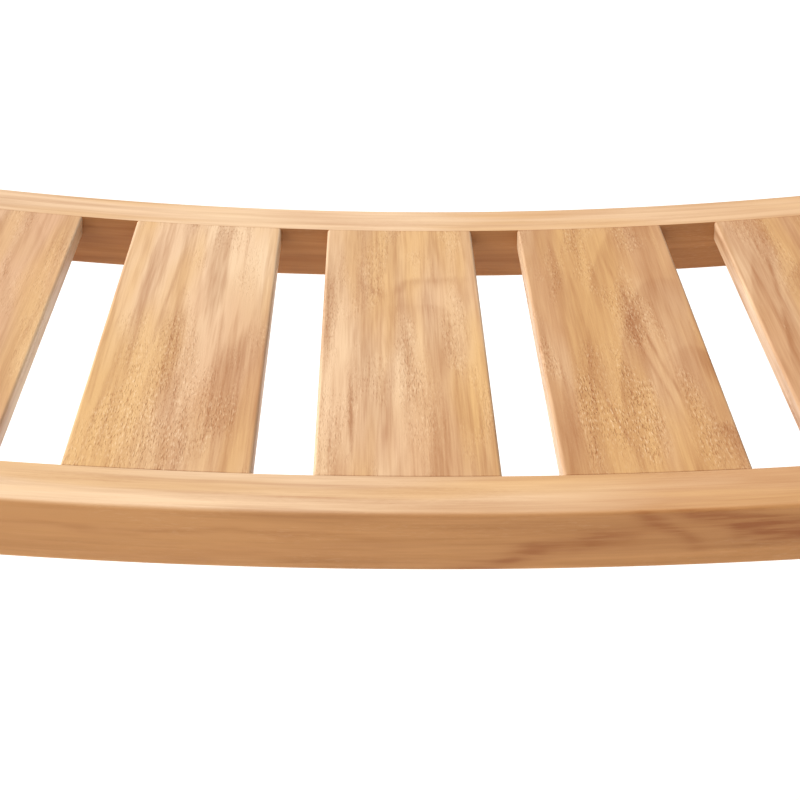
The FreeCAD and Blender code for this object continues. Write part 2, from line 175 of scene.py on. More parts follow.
class Wiring:
    # a material's nodes, added and linked one after another
    def __init__(self, name):
        self.material = bpy.data.materials.new(name)
        self.material.use_nodes = True
        self.tree = self.material.node_tree
        self.tree.nodes.clear()
        self.coordinates = self.add("ShaderNodeTexCoord")
        self.place = self.coordinates.outputs["Object"]

    def feed(self, socket, value):
        if isinstance(value, bpy.types.NodeSocket):
            self.tree.links.new(value, socket)
        else:
            socket.default_value = value

    def add(self, kind, inputs=None, **settings):
        made = self.tree.nodes.new(kind)
        for key, value in settings.items():
            setattr(made, key, value)
        for socket, value in (inputs or {}).items():
            self.feed(made.inputs[socket], value)
        return made

    def math(self, operation, *values):
        return self.add("ShaderNodeMath", dict(enumerate(values)), operation=operation).outputs[0]

    def total(self, *values):
        result = values[0]
        for value in values[1:]:
            result = self.math("ADD", result, value)
        return result

    def times(self, *values):
        result = values[0]
        for value in values[1:]:
            result = self.math("MULTIPLY", result, value)
        return result

    def vector(self, operation, *values):
        return self.add("ShaderNodeVectorMath", dict(enumerate(values)), operation=operation).outputs[0]

    def split(self, vector):
        return self.add("ShaderNodeSeparateXYZ", {0: vector}).outputs

    def join(self, *values):
        return self.add("ShaderNodeCombineXYZ", dict(enumerate(values))).outputs[0]

    def noise(self, place, scales, detail=2.0, roughness=0.5, seed=0.0, offset=0.0):
        moved = self.vector("MULTIPLY_ADD", place, scales, (seed, offset, seed * 0.37 + offset))
        inputs = {"Vector": moved, "Scale": 1.0, "Detail": detail, "Roughness": roughness}
        return self.add("ShaderNodeTexNoise", inputs).outputs["Fac"]

    def between(self, value, low, high, outLow=0.0, outHigh=1.0):
        inputs = {"Value": value, "From Min": low, "From Max": high, "To Min": outLow, "To Max": outHigh}
        return self.add("ShaderNodeMapRange", inputs, interpolation_type="SMOOTHSTEP").outputs["Result"]

    def bell(self, offset):
        return self.math("EXPONENT", self.times(offset, offset, -1.0))

    def blend(self, factor, first, second):
        made = self.add("ShaderNodeMix", {0: factor, 6: first, 7: second}, data_type="RGBA")
        return made.outputs[2]

    def finish(self, colour, roughness, height, depth, **fixed):
        surface = self.add("ShaderNodeBsdfPrincipled", {"Base Color": colour, "Roughness": roughness})
        for socket, value in fixed.items():
            surface.inputs[socket.replace("_", " ")].default_value = value
        bump = self.add("ShaderNodeBump", {"Height": height, "Strength": 1.0, "Distance": depth})
        self.feed(surface.inputs["Normal"], bump.outputs[0])
        output = self.add("ShaderNodeOutputMaterial")
        self.feed(output.inputs["Surface"], surface.outputs[0])
        return self.material


# Teak. Every board has its own axes: along the grain, across the face and through the board,
# in metres from the board's middle.

tints = {
    "pale": (0.680, 0.475, 0.290, 1),
    "tan": (0.500, 0.280, 0.128, 1),
    "gold": (0.570, 0.330, 0.120, 1),
    "blush": (0.560, 0.320, 0.185, 1),
    "brown": (0.280, 0.100, 0.024, 1),
    "rust": (0.290, 0.085, 0.012, 1),
    # painted shade: the colour given to the rails' shaded front and back faces
    "shadedAmber": (0.520, 0.235, 0.070, 1),
    "fleck": (0.800, 0.600, 0.390, 1),
}

grainScales = {                     # features per metre along, across and through the board
    "broad": (4, 19, 19),
    "fine": (15, 110, 110),
    "broken": (28, 420, 420),
    "ripple": (26, 60, 60),
    "wide": (6, 95, 95),
    "narrow": (13, 330, 330),
    "hair": (40, 1100, 1100),
    "crowd": (15, 60, 60),
    "dashes": (300, 1750, 1750),
    "tan": (7, 30, 30),
    "gold": (5, 44, 44),
    "blush": (8, 24, 24),
    "rings": (6, 36, 36),
}

plainBoard = {
    "axes": ("Y", "X", "Z"),        # along, across, through
    "bow": 0.0,                     # how the across axis follows the seat's curve
    "halfLong": 1.0,
    "halfWide": 1.0,
    "tan": 0.45,
    "gold": 0.4,
    "blush": 0.4,
    "tanAlong": (0.0, 0.0),         # added at the low and at the high end
    "goldAcross": (0.0, 0.0),
    "brown": 0.0,
    "brownAlong": (0.0, 0.0),
    "sideShadeAmber": 0.0,               # painted shade: a deeper amber on the faces that look through the board's thickness
    # painted shade: the faces that look through the board's thickness made browner
    "sideShadeBrown": 0.0,
    "edgeLightPale": 0.0,                # painted light: paler on the long edges, the faces that look across the board
    "rings": {"step": 0.0075, "centre": (0.012, -0.055), "slope": 0.06, "shade": 0.30},
    "wander": 0.005,
    "streaks": 0.32,
    "pores": 0.6,
    "poreZone": None,               # along, across, length, width, strength
    "poreShade": 0.36,
    "fleckLight": 0.32,
    "endShade": 0.30,               # end grain
    "endLine": 0.30,                # where an end butts on its neighbour
    "relief": 0.13 * mm,
    "seed": 0.0,
    "marks": [],
    "knots": [],
    "markTint": "brown",
    "ripple": 0.0,                  # how far the marks wave
    "sideMarks": False,             # marks on the side faces only
}


def teak(name, centre, changes):
    board = {**plainBoard, **changes}
    seed = board["seed"]
    w = Wiring(name)
    local = w.split(w.vector("SUBTRACT", w.place, centre))
    facing = w.split(w.coordinates.outputs["Normal"])
    along, across, through = (local[axis] for axis in board["axes"])
    if board["bow"]:
        across = w.math("SUBTRACT", across, w.times(along, along, board["bow"]))
    endOn = w.math("ABSOLUTE", facing[board["axes"][0]])
    sideOn = w.math("ABSOLUTE", facing[board["axes"][2]])
    edgeOn = w.math("ABSOLUTE", facing[board["axes"][1]])
    grain = w.join(along, across, through)

    broad = w.noise(grain, grainScales["broad"], 1.5, seed=seed, offset=3.1)
    fine = w.noise(grain, grainScales["fine"], 2.0, seed=seed, offset=9.3)
    wander = w.total(w.times(w.math("SUBTRACT", broad, 0.5), board["wander"] * 2.4),
                     w.times(w.math("SUBTRACT", fine, 0.5), board["wander"] * 0.3))
    knotShade = 0.0
    for knot in board["knots"]:
        fromKnot = w.split(w.vector("SUBTRACT", grain, (*knot["place"], 0)))
        reach = w.total(w.times(fromKnot["X"], fromKnot["X"], 1 / knot["long"] ** 2),
                        w.times(fromKnot["Y"], fromKnot["Y"], 1 / knot["wide"] ** 2))
        pull = w.math("EXPONENT", w.times(reach, -0.5))
        wander = w.total(wander, w.times(pull, knot["swing"]))
        knotShade = w.total(knotShade, w.times(w.math("EXPONENT", w.times(reach, -1.5)), knot["shade"]))

    shade = w.total(knotShade, ringShade(w, board, along, across, through, wander))

    # marks of the board's own, broken up by the grain
    breaks = w.noise(grain, grainScales["broken"], 3.0, 0.6, seed=seed, offset=3.7)
    broken = w.between(breaks, 0.36, 0.62, 0.35, 1.15)
    ripple = w.noise(grain, grainScales["ripple"], 2.5, seed=seed, offset=2.9)
    drift = w.total(wander, w.times(w.math("SUBTRACT", ripple, 0.5), board["ripple"]))
    marks = 0.0
    for mark in board["marks"]:
        marks = w.total(marks, w.times(markShade(w, mark, along, across, drift), broken))
    if board["sideMarks"]:
        marks = w.times(marks, w.between(sideOn, 0.35, 0.75))

    # streaks of a few widths, which end softly
    wide = w.noise(grain, grainScales["wide"], 2.0, seed=seed, offset=6.1)
    narrow = w.noise(grain, grainScales["narrow"], 2.0, 0.6, seed=seed, offset=2.2)
    hair = w.noise(grain, grainScales["hair"], 1.0, seed=seed, offset=5.9)
    strength = board["streaks"]
    shade = w.total(shade, w.between(wide, 0.36, 0.68, -0.25 * strength, 0.85 * strength),
                    w.between(narrow, 0.34, 0.70, -0.22 * strength, 0.50 * strength),
                    w.between(hair, 0.35, 0.70, -0.12 * strength, 0.30 * strength))

    # open pores: short dark dashes and light flecks, in crowds
    crowd = w.between(w.noise(grain, grainScales["crowd"], 2.0, seed=seed, offset=7.7), 0.46, 0.62)
    if board["poreZone"]:
        zoneAlong, zoneAcross, zoneLong, zoneWide, zoneStrength = board["poreZone"]
        near = w.times(w.bell(w.math("DIVIDE", w.math("SUBTRACT", along, zoneAlong), zoneLong)),
                       w.bell(w.math("DIVIDE", w.math("SUBTRACT", across, zoneAcross), zoneWide)))
        crowd = w.total(crowd, w.times(near, zoneStrength))
    crowd = w.times(crowd, board["pores"])
    dashes = w.noise(grain, grainScales["dashes"], 1.0, seed=seed, offset=1.7)
    pores = w.times(w.between(dashes, 0.56, 0.68), crowd)
    flecks = w.times(w.between(dashes, 0.42, 0.32), crowd)
    # pores, end grain, the board's own browning, and painted shade that browns the faces that look through
    # the board
    shade = w.total(shade, w.times(pores, board["poreShade"]),
                    w.between(endOn, 0.6, 0.9, 0.0, board["endShade"]),
                    w.times(sideOn, board["sideShadeBrown"]), board["brown"],
                    w.between(along, -board["halfLong"], board["halfLong"], *board["brownAlong"]))

    # a thin line where the end butts on its neighbour
    fromEnd = w.math("SUBTRACT", board["halfLong"], w.math("ABSOLUTE", along))
    shade = w.total(shade, w.between(fromEnd, 0.2 * mm, 0.9 * mm, board["endLine"], 0.0))

    # the ground colour, in patches and from end to end; painted light makes the faces that look across the
    # board paler
    tanNoise = w.noise(grain, grainScales["tan"], 2.0, seed=seed, offset=8.8)
    tanShare = w.total(w.between(tanNoise, 0.36, 0.66, -0.25, 0.35), board["tan"],
                       w.between(along, -board["halfLong"], board["halfLong"], *board["tanAlong"]),
                       w.times(edgeOn, -board["edgeLightPale"]))
    goldNoise = w.noise(grain, grainScales["gold"], 2.0, seed=seed, offset=0.9)
    goldShare = w.total(w.between(goldNoise, 0.38, 0.66, -0.1, 1.0), -0.5, board["gold"],
                        w.between(across, -board["halfWide"], board["halfWide"], *board["goldAcross"]),
                        w.times(edgeOn, -board["edgeLightPale"]))
    blushNoise = w.noise(grain, grainScales["blush"], 2.0, seed=seed, offset=4.1)
    blushShare = w.times(w.between(blushNoise, 0.40, 0.64), board["blush"])
    colour = w.blend(tanShare, tints["pale"], tints["tan"])
    colour = w.blend(blushShare, colour, tints["blush"])
    colour = w.blend(w.times(goldShare, 0.7), colour, tints["gold"])
    # painted shade: a deeper amber on the faces that look through the board's thickness
    colour = w.blend(w.times(sideOn, board["sideShadeAmber"]), colour, tints["shadedAmber"])
    colour = w.blend(shade, colour, tints["brown"])
    colour = w.blend(marks, colour, tints[board["markTint"]])
    colour = w.blend(w.times(flecks, board["fleckLight"]), colour, tints["fleck"])

    roughness = w.total(w.between(narrow, 0.35, 0.65, 0.46, 0.58), w.times(pores, 0.25))
    height = w.total(w.times(narrow, 0.5), w.times(hair, 0.35), w.times(pores, -0.8))
    return w.finish(colour, roughness, height, board["relief"], Specular_IOR_Level=0.42)


def ringShade(w, board, along, across, through, wander):
    # growth rings round a log whose middle lies beside the board, not quite parallel to it
    rings = board["rings"]
    logAcross, logThrough = rings["centre"]
    fromAcross = w.total(across, -logAcross, wander)
    fromThrough = w.total(through, -logThrough, w.times(along, rings["slope"]))
    radius = w.math("SQRT", w.total(w.times(fromAcross, fromAcross), w.times(fromThrough, fromThrough)))
    ring = w.math("FRACT", w.math("DIVIDE", w.math("ADD", radius, wander), rings["step"]))
    line = w.times(w.between(ring, 0.25, 0.90), w.between(ring, 0.90, 1.0, 1.0, 0.0))
    grain = w.join(along, across, through)
    patches = w.noise(grain, grainScales["rings"], 2.0, seed=board["seed"], offset=5.5)
    return w.times(line, w.between(patches, 0.34, 0.66, 0.1, 1.0), rings["shade"])


def markShade(w, mark, along, across, wander):
    # one darker or lighter line of its own, straight but for the grain's wander
    low, high = mark["reach"]
    fade = (high - low) * 0.35
    start = w.total(across, w.times(wander, mark.get("wavy", 0.5)))
    offset = w.math("DIVIDE", w.total(start, w.times(along, -mark["slope"]), -mark["at"]), mark["width"])
    fadeIn = w.between(along, low, low + fade)
    fadeOut = w.between(along, high - fade, high, 1.0, 0.0)
    return w.times(w.bell(offset), fadeIn, fadeOut, mark["shade"])


def dress(nodeName, material):
    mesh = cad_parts[nodeName].data
    mesh.materials.clear()
    mesh.materials.append(material)


def middleOf(nodeName):
    low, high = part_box(nodeName)
    return (low + high) / 2


# painted light: the slats' long side faces are made paler
slatShape = {"halfLong": 0.125, "halfWide": 0.0378, "edgeLightPale": 0.9}

slatLooks = {
    "slat_1": {
        "seed": 11.0, "tan": 0.52, "gold": 0.35, "blush": 0.6, "goldAcross": (0.1, 0.0),
        "rings": {"step": 0.009, "centre": (-0.03, -0.040), "slope": 0.16, "shade": 0.34},
        "marks": [{"at": 0.030, "width": 0.0035, "slope": 0.0, "reach": (-0.14, 0.14), "shade": -0.35}],
    },
    "slat_2": {
        "seed": 23.0, "tan": 0.18, "gold": 0.40, "blush": 0.35, "streaks": 0.38,
        "tanAlong": (0.70, -0.30), "goldAcross": (0.35, -0.3),
        "pores": 0.7, "poreZone": (-0.075, -0.002, 0.045, 0.026, 0.7),
        "rings": {"step": 0.011, "centre": (0.03, -0.06), "slope": 0.05, "shade": 0.16},
        "marks": [
            {"at": -0.0138, "width": 0.0013, "slope": 0.064, "reach": (-0.04, 0.115), "shade": 0.34},
            {"at": 0.0022, "width": 0.0045, "slope": -0.017, "reach": (-0.03, 0.14), "shade": -0.25},
            {"at": 0.004, "width": 0.0050, "slope": 0.03, "reach": (-0.10, 0.03), "shade": 0.22},
            {"at": -0.028, "width": 0.0016, "slope": 0.02, "reach": (-0.12, 0.02), "shade": 0.30},
        ],
    },
    "slat_3": {
        "seed": 37.0, "tan": 0.32, "gold": 0.34, "brown": 0.04, "blush": 0.3, "streaks": 0.38,
        "tanAlong": (0.16, 0.02), "goldAcross": (-0.05, 0.45),
        "pores": 0.7, "poreZone": (-0.07, 0.008, 0.035, 0.008, 1.0),
        "rings": {"step": 0.010, "centre": (0.004, -0.05), "slope": 0.05, "shade": 0.18},
        "knots": [
            {"place": (0.060, 0.0045), "long": 0.016, "wide": 0.014, "swing": 0.006, "shade": -0.20},
        ],
        "marks": [
            {"at": 0.0300, "width": 0.0050, "slope": -0.695, "reach": (0.041, 0.064), "shade": 0.44,
             "wavy": 3.0},
            {"at": -0.0250, "width": 0.0060, "slope": 0.83, "reach": (0.043, 0.069), "shade": 0.34,
             "wavy": 3.0},
            {"at": 0.0035, "width": 0.0034, "slope": 0.025, "reach": (-0.15, 0.060), "shade": 0.26},
            {"at": -0.0228, "width": 0.0013, "slope": 0.0, "reach": (-0.120, -0.030), "shade": 0.62},
            {"at": -0.0310, "width": 0.0009, "slope": 0.01, "reach": (-0.135, -0.020), "shade": 0.36},
        ],
    },
    "slat_4": {
        "seed": 41.0, "tan": 1.0, "gold": 0.55, "brown": 0.22, "blush": 0.1, "streaks": 0.28,
        "goldAcross": (0.1, 0.1),
        "pores": 0.8, "poreZone": (-0.07, -0.012, 0.05, 0.016, 0.7),
        "rings": {"step": 0.010, "centre": (0.030, -0.035), "slope": 0.12, "shade": 0.26},
        "marks": [
            {"at": 0.0119, "width": 0.0010, "slope": -0.104, "reach": (-0.135, 0.125), "shade": 0.50},
            {"at": 0.0069, "width": 0.0008, "slope": -0.110, "reach": (-0.115, 0.050), "shade": 0.34},
            {"at": -0.0230, "width": 0.0010, "slope": -0.154, "reach": (-0.130, -0.020), "shade": 0.42},
            {"at": -0.0080, "width": 0.0050, "slope": 0.060, "reach": (-0.060, 0.120), "shade": -0.22},
        ],
    },
    "slat_5": {
        "seed": 59.0, "tan": 0.72, "gold": 0.6, "brown": 0.16, "blush": 0.25, "goldAcross": (-0.4, 0.5),
        "rings": {"step": 0.010, "centre": (0.010, -0.030), "slope": 0.18, "shade": 0.34},
        "marks": [
            {"at": -0.0268, "width": 0.0013, "slope": 0.081, "reach": (-0.060, 0.120), "shade": 0.60},
            {"at": -0.0340, "width": 0.0030, "slope": 0.0, "reach": (-0.14, 0.14), "shade": -0.30},
        ],
    },
}
for nodeName, look in slatLooks.items():
    dress(nodeName, teak(nodeName + "Teak", middleOf(nodeName), {**slatShape, **look}))

railTall = 26.5 * mm
railShape = {"axes": ("X", "Z", "Y"), "bow": 0.241, "halfLong": 0.264, "halfWide": 0.2, "wander": 0.004,
             "pores": 0.16}

# sideShadeAmber and sideShadeBrown are painted shade on the rails' front and back faces
railLooks = {
    "front_rail": {
        "seed": 71.0, "tan": -0.95, "gold": 0.24, "blush": 0.10, "streaks": 0.24, "sideShadeAmber": 0.95,
        "tanAlong": (-0.35, 2.3), "brownAlong": (-0.05, 0.19),
        "rings": {"step": 0.008, "centre": (0.03, -0.05), "slope": 0.03, "shade": 0.18},
        "markTint": "rust", "ripple": 0.012, "sideMarks": True,
        "marks": [
            {"at": -0.0287, "width": 0.0038, "slope": 0.25, "reach": (0.000, 0.105), "shade": 0.72,
             "wavy": 1.4},
            {"at": 0.0561, "width": 0.0036, "slope": -0.62, "reach": (0.076, 0.122), "shade": 0.60,
             "wavy": 1.0},
            {"at": 0.0335, "width": 0.0052, "slope": -0.29, "reach": (0.085, 0.200), "shade": 1.05,
             "wavy": 1.4},
            {"at": -0.0105, "width": 0.0016, "slope": 0.0, "reach": (-0.200, 0.020), "shade": 0.28,
             "wavy": 1.0},
            {"at": -0.0180, "width": 0.0040, "slope": 0.04, "reach": (-0.150, 0.010), "shade": 0.20,
             "wavy": 1.0},
        ],
    },
    "rear_rail": {
        "seed": 83.0, "tan": -0.30, "gold": 0.26, "blush": 0.2, "streaks": 0.22, "sideShadeAmber": 1.0,
        "sideShadeBrown": 0.62, "tanAlong": (-0.60, 1.10),
        "rings": {"step": 0.009, "centre": (-0.03, 0.05), "slope": 0.02, "shade": 0.20},
    },
}
railTeak = {}
for nodeName, look in railLooks.items():
    start = middleOf(nodeName)
    start.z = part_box(nodeName)[0].z + railTall
    railTeak[nodeName] = teak(nodeName + "Teak", start, {**railShape, **look})

sideShapes = {
    "leg_": {"axes": ("Z", "X", "Y"), "halfLong": 0.3, "halfWide": 0.018, "tan": 0.35, "gold": 0.4},
    "end_rail_left": {"axes": ("Y", "Z", "X"), "halfLong": 0.119, "halfWide": 0.025},
    "end_rail_right": {"axes": ("Y", "Z", "X"), "halfLong": 0.119, "halfWide": 0.025},
    "stretcher_left": {"axes": ("Y", "Z", "X"), "halfLong": 0.119, "halfWide": 0.015, "tan": 0.35},
    "stretcher_right": {"axes": ("Y", "Z", "X"), "halfLong": 0.119, "halfWide": 0.015, "tan": 0.35},
}
for count, nodeName in enumerate(sorted(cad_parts)):
    for start, shape in sideShapes.items():
        if nodeName.startswith(start):
            rings = {"step": 0.008 + 0.0007 * (count % 3), "centre": (0.02 - 0.01 * (count % 5), -0.045),
                     "slope": 0.03 + 0.02 * (count % 3), "shade": 0.30}
            own = {"seed": 101.0 + 7.3 * count, "tan": 0.28 + 0.06 * (count % 4), "rings": rings}
            dress(nodeName, teak(nodeName + "Teak", middleOf(nodeName), {**shape, **own}))
print("teak made")


# Pegs: end grain, with rings round a point beside each peg

pegs = {
    "radius": 3 * mm,
    "ringStep": 1.1 * mm,
    "logAside": 8.5 * mm,           # from the peg's middle to the rings' own middle
    "logUp": 3.4 * mm,
    "glueFrom": 2.6 * mm,           # a dark line round the rim
}


def pegTeak():
    w = Wiring("pegTeak")
    parts = w.split(w.place)
    low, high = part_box("end_rail_pegs")
    pegY = high.y - pegs["radius"]
    endPegZ = (low.z + high.z) / 2
    low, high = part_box("stretcher_pegs")
    stretcherPegZ = (low.z + high.z) / 2
    isHigh = w.math("GREATER_THAN", parts["Z"], (endPegZ + stretcherPegZ) / 2)
    height = w.total(parts["Z"], w.times(isHigh, stretcherPegZ - endPegZ), -stretcherPegZ)
    acrossY = w.math("SUBTRACT", w.math("ABSOLUTE", parts["Y"]), pegY)
    fromLog = w.join(w.total(acrossY, pegs["logAside"]), w.total(height, -pegs["logUp"]), 0.0)
    wobble = w.noise(w.place, (300, 300, 300), 2.0)
    radius = w.total(w.add("ShaderNodeVectorMath", {0: fromLog}, operation="LENGTH").outputs["Value"],
                     w.times(wobble, 0.5 * mm))
    ring = w.math("FRACT", w.math("DIVIDE", radius, pegs["ringStep"]))
    line = w.times(w.between(ring, 0.3, 0.9), w.between(ring, 0.9, 1.0, 1.0, 0.0))
    pores = w.between(w.noise(w.place, (500, 4200, 4200), 1.0), 0.58, 0.68)
    edge = w.math("SQRT", w.total(w.times(acrossY, acrossY), w.times(height, height)))
    glue = w.between(edge, pegs["glueFrom"], pegs["radius"])
    shade = w.total(w.times(line, 0.35), w.times(pores, 0.4), w.times(glue, 0.55), 0.12)
    colour = w.blend(shade, tints["tan"], tints["brown"])
    return w.finish(colour, w.total(0.55, w.times(pores, 0.2)), w.times(pores, -1.0), 0.1 * mm,
                    Specular_IOR_Level=0.4)


pegMaterial = pegTeak()
for nodeName in ("end_rail_pegs", "stretcher_pegs"):
    dress(nodeName, pegMaterial)
print("pegs made")


# Metal, plastic and rubber

fittings = {
    "boltHeadRadius": 8 * mm,
    "nutRadius": 5 * mm,
    "turningStep": 0.22 * mm,       # between the fine marks of the lathe
    "boltLight": (0.62, 0.62, 0.61, 1),
    "boltDark": (0.50, 0.50, 0.49, 1),
    "steel": (0.60, 0.60, 0.59, 1),
    "brass": (0.72, 0.50, 0.20, 1),
    "plastic": (0.018, 0.018, 0.019, 1),
    "plasticWorn": (0.075, 0.073, 0.070, 1),
    "rubber": (0.030, 0.030, 0.031, 1),
    "rubberDust": (0.125, 0.118, 0.108, 1),
}


def ringsAbout(w, across, up, step):
    # fine turning marks round an axis
    reach = w.math("SQRT", w.total(w.times(across, across), w.times(up, up)))
    return w.noise(w.join(reach, 0.0, 0.0), (1 / step, 1, 1), 2.0)


def boltSteel():
    w = Wiring("boltSteel")
    parts = w.split(w.place)
    low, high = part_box("leg_bolts")
    across = w.math("SUBTRACT", w.math("ABSOLUTE", parts["Y"]), high.y - fittings["boltHeadRadius"])
    up = w.math("SUBTRACT", parts["Z"], (low.z + high.z) / 2)
    marks = ringsAbout(w, across, up, fittings["turningStep"])
    cloud = w.noise(w.place, (160, 160, 160), 3.0)
    colour = w.blend(w.between(cloud, 0.35, 0.7), fittings["boltLight"], fittings["boltDark"])
    roughness = w.total(w.between(marks, 0.3, 0.7, 0.20, 0.34), w.between(cloud, 0.5, 0.75, 0.0, 0.10))
    return w.finish(colour, roughness, marks, 0.02 * mm, Metallic=1.0)


def plainMetal(name, brushScales, light):
    w = Wiring(name)
    across, along = brushScales
    brushed = w.noise(w.place, (across, across, along), 3.0)
    cloud = w.noise(w.place, (140, 140, 140), 3.0)
    dark = tuple(part * 0.76 for part in light[:3]) + (1,)
    colour = w.blend(w.between(cloud, 0.35, 0.7), light, dark)
    roughness = w.total(w.between(brushed, 0.3, 0.7, 0.22, 0.36), w.between(cloud, 0.5, 0.75, 0.0, 0.12))
    return w.finish(colour, roughness, brushed, 0.02 * mm, Metallic=1.0)


def mouldedPlastic():
    w = Wiring("mouldedPlastic")
    grain = w.noise(w.place, (2600, 2600, 2600), 2.0)
    scuffs = w.noise(w.place, (240, 240, 60), 4.0, 0.65)
    worn = w.between(scuffs, 0.56, 0.72)
    colour = w.blend(w.times(worn, 0.4), fittings["plastic"], fittings["plasticWorn"])
    roughness = w.total(w.between(grain, 0.3, 0.7, 0.42, 0.54), w.times(worn, 0.14))
    return w.finish(colour, roughness, grain, 0.04 * mm)


def soleRubber():
    w = Wiring("soleRubber")
    grain = w.noise(w.place, (1900, 1900, 1900), 3.0)
    dust = w.between(w.noise(w.place, (190, 190, 190), 4.0, 0.6), 0.48, 0.68)
    colour = w.blend(w.times(dust, 0.45), fittings["rubber"], fittings["rubberDust"])
    roughness = w.total(0.74, w.times(dust, 0.14))
    return w.finish(colour, roughness, w.total(grain, w.times(dust, 0.3)), 0.06 * mm,
                    Specular_IOR_Level=0.3)


steel = plainMetal("footSteel", (900, 120), fittings["steel"])
plastic = mouldedPlastic()
rubber = soleRubber()
dress("leg_bolts", boltSteel())
dress("barrel_nuts", plainMetal("nutSteel", (120, 1400), fittings["steel"]))
dress("foot_inserts", plainMetal("insertBrass", (700, 700), fittings["brass"]))
print("metal, plastic and rubber made")


# Levelling feet

feet = {
    "corners": ("front_left", "front_right", "rear_left", "rear_right"),
    "around": 72,
    "ribs": 40,
    "ribRadius": 0.35 * mm,
    "nubRings": ((2.6 * mm, 6), (5.4 * mm, 12), (8.2 * mm, 18), (10.6 * mm, 24)),
    "nubRadius": 0.62 * mm,
    "nubTip": 0.45 * mm,
    "nubTall": 0.7 * mm,
    "rimRadius": 12.5 * mm,
    "rimLow": 3.3 * mm,
    "rimHigh": 5.7 * mm,
    "threadPitch": 1.25 * mm,
    "threadRoot": 3.38 * mm,
    "threadCrest": 4.0 * mm,
    "hexAcross": 13 * mm,
    "hexCorner": 6.35 * mm,
    "hexLow": 10.2 * mm,
    "hexHigh": 13.2 * mm,
    "studTop": 44.2 * mm,
    "threadEnd": 1 * mm,            # plain length above the thread
    "sharpEdge": 38,                # degrees, from which an edge shades as a corner
}


def spun(name, outline, around=feet["around"], reachAt=None):
    # a closed outline of (radius, height) pairs turned about Z
    made = bmesh.new()
    rings = []
    for radius, height in outline:
        if radius == 0:
            rings.append([made.verts.new((0, 0, height))])
            continue
        ring = []
        for step in range(around):
            angle = 2 * math.pi * step / around
            reach = reachAt(angle, radius) if reachAt else radius
            ring.append(made.verts.new((reach * math.cos(angle), reach * math.sin(angle), height)))
        rings.append(ring)
    for first, second in zip(rings, rings[1:] + rings[:1]):
        for step in range(around):
            after = (step + 1) % around
            corners = {first[step % len(first)]: 0, first[after % len(first)]: 0,
                       second[after % len(second)]: 0, second[step % len(second)]: 0}
            if len(corners) > 2:
                made.faces.new(list(corners))
    bmesh.ops.recalc_face_normals(made, faces=made.faces)
    return meshOf(name, made)


def meshOf(name, made):
    for face in made.faces:
        face.smooth = True
    for edge in made.edges:
        edge.smooth = not (edge.is_manifold and edge.calc_face_angle(0) > math.radians(feet["sharpEdge"]))
    mesh = bpy.data.meshes.new(name)
    made.to_mesh(mesh)
    made.free()
    return mesh


class Recipe:
    # a Geometry Nodes tree with named inputs, made into a plain mesh
    def __init__(self, name):
        self.tree = bpy.data.node_groups.new(name, "GeometryNodeTree")
        self.tree.interface.new_socket("Mesh", in_out="OUTPUT", socket_type="NodeSocketGeometry")
        self.inlets = self.tree.nodes.new("NodeGroupInput")
        self.values = {}

    def size(self, name, value, kind="NodeSocketFloat"):
        socket = self.tree.interface.new_socket(name, in_out="INPUT", socket_type=kind)
        self.values[socket.identifier] = value
        return self.inlets.outputs[name]

    def add(self, kind, inputs=None, output=0, **settings):
        made = self.tree.nodes.new(kind)
        for key, value in settings.items():
            setattr(made, key, value)
        for socket, value in (inputs or {}).items():
            if isinstance(value, bpy.types.NodeSocket):
                self.tree.links.new(value, made.inputs[socket])
            else:
                made.inputs[socket].default_value = value
        return made.outputs[output]

    def given(self):
        # the carrier's own mesh, as it comes in
        self.tree.interface.new_socket("Shape", in_out="INPUT", socket_type="NodeSocketGeometry")
        return self.inlets.outputs["Shape"]

    def math(self, operation, *values):
        return self.add("ShaderNodeMath", dict(enumerate(values)), operation=operation)

    def join(self, parts):
        joined = self.tree.nodes.new("GeometryNodeJoinGeometry")
        for part in reversed(parts):
            self.tree.links.new(part, joined.inputs[0])
        return joined.outputs[0]

    def plainMesh(self, geometry, material, shape=None):
        realized = self.add("GeometryNodeRealizeInstances", {0: geometry})
        painted = self.add("GeometryNodeSetMaterial", {"Geometry": realized, "Material": material})
        outlet = self.tree.nodes.new("NodeGroupOutput")
        self.tree.links.new(painted, outlet.inputs[0])
        carrier = bpy.data.objects.new(self.tree.name, shape or bpy.data.meshes.new(self.tree.name))
        scene.collection.objects.link(carrier)
        modifier = carrier.modifiers.new(self.tree.name, "NODES")
        modifier.node_group = self.tree
        for identifier, value in self.values.items():
            modifier[identifier] = value
        evaluated = carrier.evaluated_get(bpy.context.evaluated_depsgraph_get())
        mesh = bpy.data.meshes.new_from_object(evaluated)
        carrier.modifiers.remove(modifier)
        bpy.data.objects.remove(carrier)
        return mesh


def padRibs(rimRadius, low, high):
    # upright half-round ribs round the pad's rim, for fingers
    recipe = Recipe("padRibs")
    count = recipe.size("Rib count", feet["ribs"], "NodeSocketInt")
    ringRadius = recipe.size("Ring radius", rimRadius - feet["ribRadius"])
    ribRadius = recipe.size("Rib radius", feet["ribRadius"])
    ribLong = recipe.size("Rib length", high - low)
    ring = recipe.add("GeometryNodeMeshCircle", {"Vertices": count, "Radius": ringRadius})
    rib = recipe.add("GeometryNodeMeshCylinder", {"Vertices": 10, "Radius": ribRadius, "Depth": ribLong})
    placed = recipe.add("GeometryNodeInstanceOnPoints", {"Points": ring, "Instance": rib})
    middle = (0, 0, (low + high) / 2)
    raised = recipe.add("GeometryNodeTransform", {"Geometry": placed, "Translation": middle})
    return recipe.plainMesh(raised, plastic)


